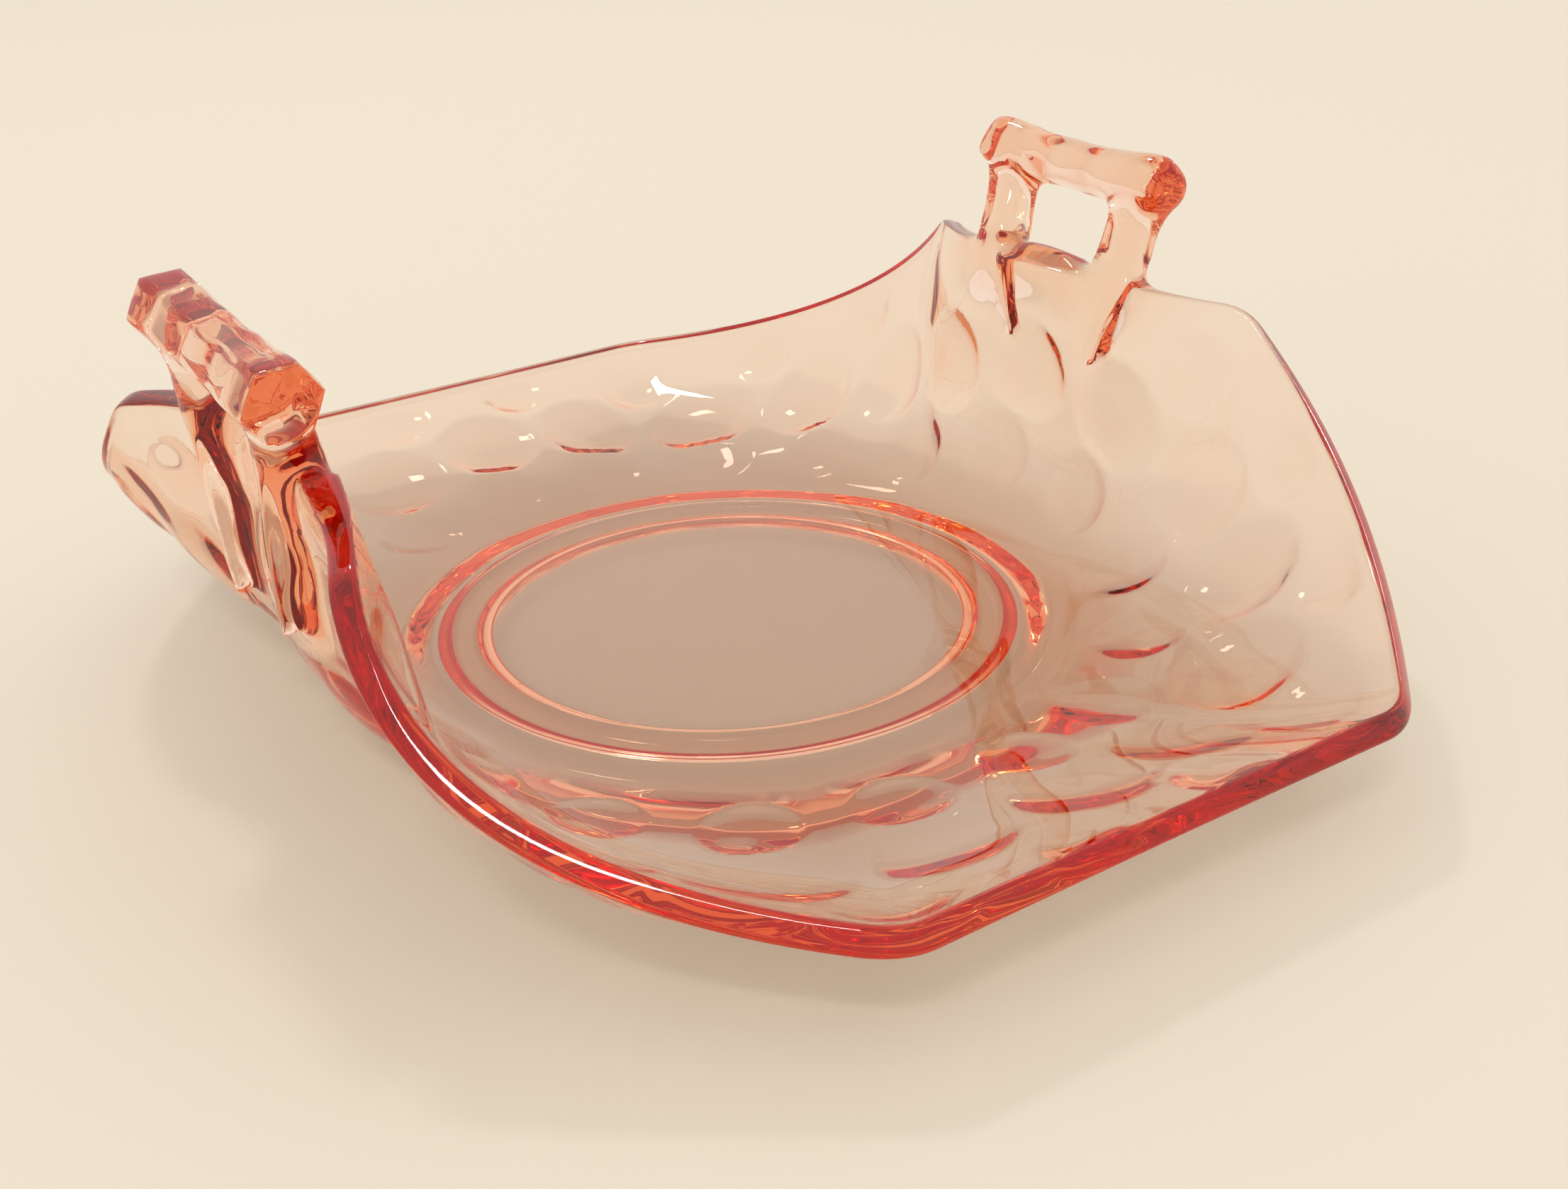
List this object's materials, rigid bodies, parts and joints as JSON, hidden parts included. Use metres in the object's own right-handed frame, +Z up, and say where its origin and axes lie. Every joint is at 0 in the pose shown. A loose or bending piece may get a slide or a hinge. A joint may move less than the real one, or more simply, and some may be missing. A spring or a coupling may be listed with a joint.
{
  "type": "candy dish",
  "caption": "Octagonal pressed-glass candy dish on a round foot ring, its opposite sides folded up, each with an open loop handle.",
  "frame": {"origin": "centre of the foot ring, on the plane it rests on", "axes": "+Z up, +X towards the right handle, and the low sides face +Y and -Y"},
  "size_m": [0.1318, 0.1666, 0.0598],
  "materials": {
    "pink_glass": "clear, fire-polished, pale pink in thin walls and red-orange where seen edge on"
  },
  "bodies": {
    "root": {"dish_body": "pink_glass", "foot_ring": "pink_glass", "right_handle": "pink_glass", "left_handle": "pink_glass"}
  },
  "joints": []
}
